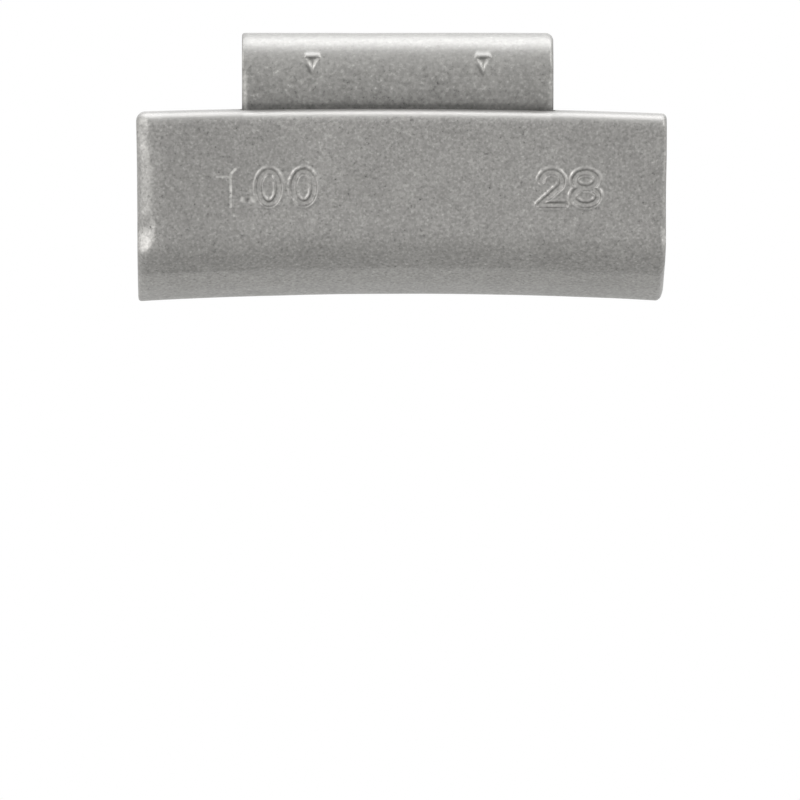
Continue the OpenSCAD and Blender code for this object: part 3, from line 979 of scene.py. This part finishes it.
def make_camera(stage):
    """A long lens at the front, raised to the object's middle and turned down to the picture's middle."""
    front = BAR_LOW.y
    aim = Vector((stage["aim_x"] * MM, front, stage["aim_z"] * MM))
    place = Vector((stage["aim_x"] * MM, front - stage["camera_back"] * MM, stage["camera_z"] * MM))
    camera = bpy.data.cameras.new("Camera")
    camera.sensor_width = 36.0
    camera.lens = camera.sensor_width * (aim - place).length / (stage["picture_w"] * MM)
    camera.clip_start, camera.clip_end = 0.05, 20.0
    holder = bpy.data.objects.new("Camera", camera)
    holder.location = place
    holder.rotation_euler = (aim - place).to_track_quat("-Z", "Y").to_euler()
    bpy.context.scene.collection.objects.link(holder)
    bpy.context.scene.camera = holder


class MESH_OT_balance_bar(Operator):
    """Build the coated bar with its slot and its stamped numerals"""

    bl_idname = "mesh.balance_bar"
    bl_label = "Build the bar"

    def execute(self, context):
        scene = context.scene
        settings = scene.weight_coat
        coat = coat_material(
            "Bar coat", settings.bar_colour, settings.bar_flake, settings.bar_contrast, mm(settings),
        )
        add_piece("bar", *bar_rings(mm(scene.weight_bar)), coat, "weight_body", "bar_coat")
        return {"FINISHED"}


class MESH_OT_balance_clip(Operator):
    """Build the coated spring clip with its two dents"""

    bl_idname = "mesh.balance_clip"
    bl_label = "Build the clip"

    def execute(self, context):
        scene = context.scene
        settings = scene.weight_coat
        coat = coat_material(
            "Clip coat", settings.clip_colour, settings.clip_flake, settings.clip_contrast, mm(settings),
        )
        add_piece("clip", *clip_rings(mm(scene.weight_clip)), coat, "spring_clip", "clip_coat")
        return {"FINISHED"}


class SCENE_OT_balance_stage(Operator):
    """Build the camera, the floor, the sky and the lamps"""

    bl_idname = "scene.balance_stage"
    bl_label = "Build the stage"

    def execute(self, context):
        stage = mm(context.scene.weight_stage)
        context.scene.view_settings.view_transform = "Standard"
        make_camera(stage)
        make_floor(CAD_LOW.z - stage["floor_drop"] * MM)
        make_sky(stage["sky"])
        for name, place, width, depth, brightness, colour in LAMPS:
            make_lamp(name, place, width, depth, stage[brightness], colour)
        return {"FINISHED"}


class VIEW3D_PT_balance_weight(Panel):
    """Lists the weight's sizes, colours and operators"""

    bl_label = "Balance weight"
    bl_idname = "VIEW3D_PT_balance_weight"
    bl_space_type = "VIEW_3D"
    bl_region_type = "UI"
    bl_category = "Balance weight"

    def draw(self, context):
        for settings, operator in (
            ("weight_bar", MESH_OT_balance_bar.bl_idname), ("weight_clip", MESH_OT_balance_clip.bl_idname),
            ("weight_coat", None), ("weight_stage", SCENE_OT_balance_stage.bl_idname),
        ):
            group = getattr(context.scene, settings)
            box = self.layout.box()
            for name in group.__annotations__:
                box.prop(group, name)
            if operator:
                box.operator(operator)


SETTINGS = (
    ("weight_bar", BarSettings), ("weight_clip", ClipSettings), ("weight_coat", CoatSettings),
    ("weight_stage", StageSettings),
)
OPERATORS = (MESH_OT_balance_bar, MESH_OT_balance_clip, SCENE_OT_balance_stage)


def register():
    """Registers the settings, the operators and the panel."""
    for name, group in SETTINGS:
        bpy.utils.register_class(group)
        setattr(bpy.types.Scene, name, PointerProperty(type=group))
    for item in (*OPERATORS, VIEW3D_PT_balance_weight):
        bpy.utils.register_class(item)


def unregister():
    """Takes away what register added."""
    for item in (VIEW3D_PT_balance_weight, *reversed(OPERATORS)):
        bpy.utils.unregister_class(item)
    for name, group in reversed(SETTINGS):
        delattr(bpy.types.Scene, name)
        bpy.utils.unregister_class(group)


def main():
    """Builds the object and its stage."""
    register()
    bpy.ops.mesh.balance_bar()
    bpy.ops.mesh.balance_clip()
    bpy.ops.scene.balance_stage()


if __name__ == "__main__":
    main()
